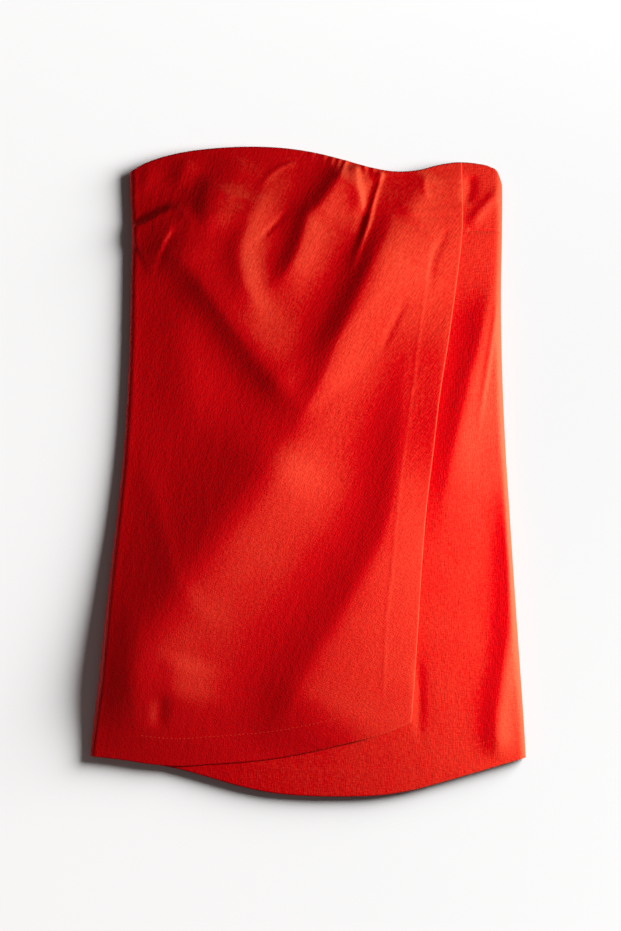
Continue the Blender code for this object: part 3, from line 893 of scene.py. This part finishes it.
class DressClothLook(bpy.types.PropertyGroup):
    """What the cloth is made of."""

    wall: number_prop("Wall", "Thickness of the cloth, in millimetres", 1.0, min=0.4)
    warp_colour: colour_prop("Warp", "Of the threads that run down the cloth", (0.66, 0.0, 0.003))
    # Also the colour of the painted highlight where the cloth leans towards the lights.
    weft_and_sheen_colour: colour_prop("Weft", "Of the threads that run across it", (0.77, 0.078, 0.030))
    gloss_colour: colour_prop("Gloss colour", "Of the light that fibres throw back", (1.0, 0.06, 0.05))
    thread_pitch: number_prop("Thread pitch", "From thread to thread, in millimetres", 0.62)
    slub_width: number_prop("Slub width", "Width of a thick stretch, in millimetres", 1.5)
    slub_length: number_prop("Slub length", "Its length, in millimetres", 5.0)
    unevenness: share_prop("Unevenness", "How much the threads' shade varies", 0.14)
    weave_relief: number_prop("Weave relief", "Height of the threads, in millimetres", 0.05)
    slub_relief: number_prop("Slub relief", "Height of the slubs, in millimetres", 0.65)
    pucker: number_prop("Pucker", "Height of its fine rumples, in millimetres", 0.35)
    roughness: share_prop("Roughness", "Of the cloth's sheen", 0.5)
    gloss: share_prop("Gloss", "Strength of its reflection", 0.8)
    sheen: share_prop("Sheen", "Of its fine surface fibres", 0.04)


class DressSewingLook(bpy.types.PropertyGroup):
    """Stitches and zip."""

    hem_spacing: length_prop(
        "Hem stitch spacing", "Between the picks of the blind stitched hems", 0.0045)
    hem_pick: length_prop("Hem pick", "Length of thread that shows at each pick", 0.0016)
    seam_spacing: length_prop("Seam stitch spacing", "Between the stitches of the dart", 0.0026)
    thread_radius: length_prop("Thread radius", "Of the sewing thread", 0.0002)
    coil_pitch: length_prop("Coil pitch", "From turn to turn of the zip's coil", 0.0015)
    seed: IntProperty(name="Seed", description="For the uneven lengths of the stitches", default=7)


class DressStageLook(bpy.types.PropertyGroup):
    """Floor, lights and camera."""

    floor_half: length_prop("Floor", "From its middle to its edge", 4.0)
    key_place: place_prop("Key place", "Of the small low light at the right", (0.74, -0.05, 0.34))
    key_size: length_prop("Key size", "Width of the key light", 0.10)
    key_power: number_prop("Key power", "In watts", 12.9)
    floor_place: place_prop(
        "Floor light place", "Of the wide light that falls on the floor alone", (1.10, 0.52, 0.56))
    floor_size: length_prop("Floor light size", "Width of the floor's light", 1.02)
    floor_power: number_prop("Floor light power", "In watts", 120.0)
    soft_place: place_prop("Soft place", "Of the large light behind the key", (1.25, 0.40, 0.42))
    soft_size: length_prop("Soft size", "Width of the soft light", 0.8)
    soft_power: number_prop("Soft power", "In watts", 4.0)
    surround: number_prop("Surround", "Strength of the room's own light", 0.12)
    surround_colour: colour_prop("Surround colour", "Of the room's own light", (1.0, 0.84, 0.80))
    camera_place: place_prop("Camera", "Straight above the dress", (0.00269, 0.00669, 2.79))
    lens: number_prop("Lens", "Focal length, in millimetres", 100.0)


class DRESS_OT_drape_cloth(bpy.types.Operator):
    """The wrap panel with its cowl and gathers, free along its right edge and its hem"""

    bl_idname = "dress.drape_cloth"
    bl_label = "Draped Front"

    def execute(self, context):
        look = context.scene.dress_cloth
        piece = CutPiece(
            left_edge, free_edge, drape_hem, neckline,
            shares=spaced((0.50, 68), (0.80, 88), (0.975, 34), (0.996, 5), (1.0, 2)),
            rows=spaced((0.004, 2), (0.05, 10), (0.68, 88), (0.96, 105), (0.996, 16), (1.0, 2)),
            west_roll=LEFT_ROLL,
        )
        x, y = piece.points()
        z = piece.heights(x, y, SEAM_HEIGHT + SEAM_GAP, drape_height(x, y, look.wall))
        # Painted highlight: more orange towards the drape's right, the lights' side.
        finish = woven_cloth("Draped cloth", look, painted_sheen_eastwards=1.7)
        made = cloth_piece("drape_cloth", x, y, z, look.wall, finish, draped_grain)
        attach(made, BODY)
        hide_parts("front_drape")
        return {"FINISHED"}


class DRESS_OT_under_cloth(bpy.types.Operator):
    """The plain front below the drape, from the left side seam to the right one, with its bust dart"""

    bl_idname = "dress.under_cloth"
    bl_label = "Under Front"

    def execute(self, context):
        look = context.scene.dress_cloth
        inset = look.wall + LAYER_GAP

        def inside_drape(y):
            return left_edge(y) + inset

        piece = CutPiece(
            inside_drape, right_edge, under_hem, neckline,
            shares=spaced((0.62, 40), (0.995, 106), (1.0, 2)),
            rows=spaced((0.004, 2), (0.10, 26), (0.84, 104), (0.95, 50), (0.996, 16), (1.0, 2)),
            west_roll=LEFT_ROLL - inset, east_roll=RIGHT_ROLL,
        )
        x, y = piece.points()
        z = piece.heights(x, y, SEAM_HEIGHT + SEAM_GAP, under_height(x, y))
        # Painted highlight: more orange towards the right of the under front, the lights' side.
        finish = woven_cloth("Under cloth", look, weft_and_sheen_shows=0.08, painted_sheen_eastwards=1.1)
        made = cloth_piece("under_cloth", x, y, z, look.wall, finish)
        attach(made, BODY)
        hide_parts("front_under")
        return {"FINISHED"}


class DRESS_OT_back_cloth(bpy.types.Operator):
    """The two halves of the back, flat on the surface and turned up to their side seams"""

    bl_idname = "dress.back_cloth"
    bl_label = "Back"

    def execute(self, context):
        look = context.scene.dress_cloth
        finish = woven_cloth("Back cloth", look, shade=0.94, weft_and_sheen_shows=0.1)
        self.half("back_cloth_left", "back_left", -1, look, finish)
        self.half("back_cloth_right", "back_right", 1, look, finish)
        return {"FINISHED"}

    def half(self, name, node, side, look, finish):
        def by_the_seam(y):
            return np.full(np.shape(y), side * SEAM_GAP / 2)

        ends = (back_hem, back_neckline)
        rows = spaced((0.004, 2), (0.996, 120), (1.0, 2))
        if side < 0:
            shares = spaced((0.985, 44), (1.0, 4))
            piece = CutPiece(left_edge, by_the_seam, *ends, shares, rows, west_roll=BACK_ROLL)
        else:
            shares = spaced((0.015, 4), (1.0, 44))
            piece = CutPiece(by_the_seam, right_edge, *ends, shares, rows, east_roll=BACK_ROLL)
        x, y = piece.points()
        z = piece.heights(x, y, SEAM_HEIGHT, back_lift(x, y))
        made = cloth_piece(name, x, y, z, look.wall, finish, faces_down=True)
        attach(made, BODY)
        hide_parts(node)


class DRESS_OT_sewing(bpy.types.Operator):
    """The picks of the blind stitched hems and the stitches of the bust dart"""

    bl_idname = "dress.sewing"
    bl_label = "Stitches"

    def execute(self, context):
        look, sewing = context.scene.dress_cloth, context.scene.dress_sewing
        # Painted light: the hem thread is a lighter copy, a painted highlight on its picks, and the
        # dart thread a darker copy, a painted shade along the dart.
        lit_hem_thread = thread_finish("Hem thread", look, 1.2)
        shaded_dart_thread = thread_finish("Dart thread", look, 0.35)
        nodes = stitch_nodes()
        lift = sewing.thread_radius / METRES * THREAD_LIFT
        x = np.linspace(*DRAPE_HEM_STITCHED)
        y = drape_hem(x) + HEM_TURN
        drape_run = np.column_stack([x, y, drape_height(x, y, look.wall) + lift])
        x = np.linspace(*UNDER_HEM_STITCHED)
        y = under_hem(x) + HEM_TURN
        under_run = np.column_stack([x, y, under_height(x, y) + lift])
        dart = route(DART, 12)[:-1]
        x, y = dart[dart[:, 0] < DART_STITCHED_TO].T
        dart_run = np.column_stack([x, y, under_height(x, y) + lift])
        hem = (sewing.hem_spacing, sewing.hem_pick, lit_hem_thread)
        seam = (sewing.seam_spacing, sewing.seam_spacing * DART_STITCH, shaded_dart_thread)
        runs = (
            ("drape_hem_stitches", drape_run, hem, "drape_cloth"),
            ("under_hem_stitches", under_run, hem, "under_cloth"),
            ("dart_stitches", dart_run, seam, "under_cloth"),
        )
        for name, run, (spacing, length, thread), slot in runs:
            made = nodes.make(name, path_curve(name, run), {
                "Spacing": spacing, "Length": length, "Thread Radius": sewing.thread_radius,
                "Seed": sewing.seed, "Material": thread})
            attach(made, BODY)
        return {"FINISHED"}


class DRESS_OT_zip(bpy.types.Operator):
    """The turns of the zip's coil on its tape, and the finish of the tape and slider"""

    bl_idname = "dress.zip"
    bl_label = "Zip"

    def execute(self, context):
        look, sewing = context.scene.dress_cloth, context.scene.dress_sewing
        tape = tape_finish("Zip tape", look)
        for node, finish in (("zip_tape", tape), ("zip_slider", enamel_finish("Enamel", look))):
            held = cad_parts[node]
            held.data.materials.clear()
            held.data.materials.append(finish)
        top = float(back_neckline(0)) - ZIP_BELOW_NECK
        ends = (top - ZIP_LENGTH + COIL_SHORTER, top - SLIDER_SPACE)
        path = path_curve("zip_coil", [(0, y, ZIP_COIL_MIDDLE) for y in ends])
        made = coil_nodes().make("zip_coil", path, {"Pitch": sewing.coil_pitch, "Material": tape})
        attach(made, BODY)
        return {"FINISHED"}


class DRESS_OT_stage(bpy.types.Operator):
    """A pale floor with its own light, a low light at the right, a soft one behind, and the camera"""

    bl_idname = "dress.stage"
    bl_label = "Stage"

    def execute(self, context):
        stage = context.scene.dress_stage
        floor = self.floor(stage)
        key = self.light("Key", stage.key_place, stage.key_size, stage.key_power)
        soft = self.light("Soft", stage.soft_place, stage.soft_size, stage.soft_power)
        wide = self.light("Floor light", stage.floor_place, stage.floor_size, stage.floor_power)
        self.falls_on(key, floor, "EXCLUDE")
        self.falls_on(soft, floor, "EXCLUDE")
        self.falls_on(wide, floor, "INCLUDE")
        room = bpy.data.worlds.new("Room")
        room.use_nodes = True
        shown = room.node_tree.nodes["Background"].inputs
        shown["Color"].default_value = opaque(stage.surround_colour)
        shown["Strength"].default_value = stage.surround
        context.scene.world = room
        context.scene.view_settings.view_transform = "Standard"
        self.camera(context, stage)
        return {"FINISHED"}

    def falls_on(self, light, thing, state):
        """Makes a light fall on one thing alone, or on all but that thing."""
        listed = bpy.data.collections.new(light.name)
        listed.objects.link(thing)
        listed.collection_objects[0].light_linking.link_state = state
        light.light_linking.receiver_collection = listed

    def floor(self, stage):
        form = bmesh.new()
        bmesh.ops.create_grid(form, x_segments=8, y_segments=8, size=stage.floor_half)
        for vertex in form.verts:
            vertex.co.z = -FLOOR_SUNK
        mesh = bpy.data.meshes.new("floor")
        form.to_mesh(mesh)
        form.free()
        made = bpy.data.objects.new("floor", mesh)
        made.data.materials.append(self.floor_finish(stage))
        bpy.context.scene.collection.objects.link(made)
        return made

    def floor_finish(self, stage):
        """Pale card, deeper near its light, so that it looks evenly pale all over."""
        finish = Finish("Pale floor")
        x, y, _ = finish.parts_of(finish.add("ShaderNodeTexCoord").outputs["Object"])
        east, north, high = stage.floor_place
        away = (x - east) ** 2 + (y - north) ** 2 + high**2 + LIGHT_SPREAD * stage.floor_size**2
        reach = float(np.linalg.norm(stage.floor_place))
        faced = reach - x * (east / reach) - y * (north / reach)
        light = stage.floor_power * high / np.pi**2 * faced / away**2 + stage.surround
        pale = (FLOOR_TONE / light).held(0.1, 0.97)
        colour = finish.add("ShaderNodeCombineXYZ", sockets={0: pale, 1: pale, 2: pale}).outputs[0]
        finish.set(Base_Color=colour, Roughness=0.9, Specular_IOR_Level=0.0)
        return finish.material

    def light(self, name, place, size, power):
        lamp = bpy.data.lights.new(name, "AREA")
        lamp.shape = "DISK"
        lamp.size = size
        lamp.energy = power
        held = bpy.data.objects.new(name, lamp)
        held.location = place
        held.rotation_mode = "QUATERNION"
        held.rotation_quaternion = held.location.to_track_quat("Z", "Y")
        bpy.context.scene.collection.objects.link(held)
        return held

    def camera(self, context, stage):
        lens = bpy.data.cameras.new("Camera")
        lens.lens = stage.lens
        lens.sensor_width = SENSOR_WIDTH
        lens.sensor_fit = "AUTO"
        lens.clip_end = 50.0
        held = bpy.data.objects.new("Camera", lens)
        held.location = stage.camera_place
        context.scene.collection.objects.link(held)
        context.scene.camera = held


class DRESS_PT_sidebar(bpy.types.Panel):
    """Lists the pieces of the dress"""

    bl_label = "Strapless Dress"
    bl_idname = "DRESS_PT_sidebar"
    bl_space_type = "VIEW_3D"
    bl_region_type = "UI"
    bl_category = "Dress"

    def draw(self, context):
        for group in (context.scene.dress_cloth, context.scene.dress_sewing, context.scene.dress_stage):
            box = self.layout.box()
            for name in group.__annotations__:
                box.prop(group, name)
        for step in STEPS:
            self.layout.operator(step.bl_idname)


LOOKS = {"dress_cloth": DressClothLook, "dress_sewing": DressSewingLook, "dress_stage": DressStageLook}
STEPS = (
    DRESS_OT_under_cloth,
    DRESS_OT_drape_cloth,
    DRESS_OT_back_cloth,
    DRESS_OT_zip,
    DRESS_OT_sewing,
    DRESS_OT_stage,
)


def register():
    for group in (*LOOKS.values(), *STEPS, DRESS_PT_sidebar):
        bpy.utils.register_class(group)
    for name, group in LOOKS.items():
        setattr(bpy.types.Scene, name, PointerProperty(type=group))


def unregister():
    for name in LOOKS:
        delattr(bpy.types.Scene, name)
    for group in reversed((*LOOKS.values(), *STEPS, DRESS_PT_sidebar)):
        bpy.utils.unregister_class(group)


def main():
    register()
    for step in STEPS:
        area, action = step.bl_idname.split(".")
        getattr(getattr(bpy.ops, area), action)()


if __name__ == "__main__":
    main()
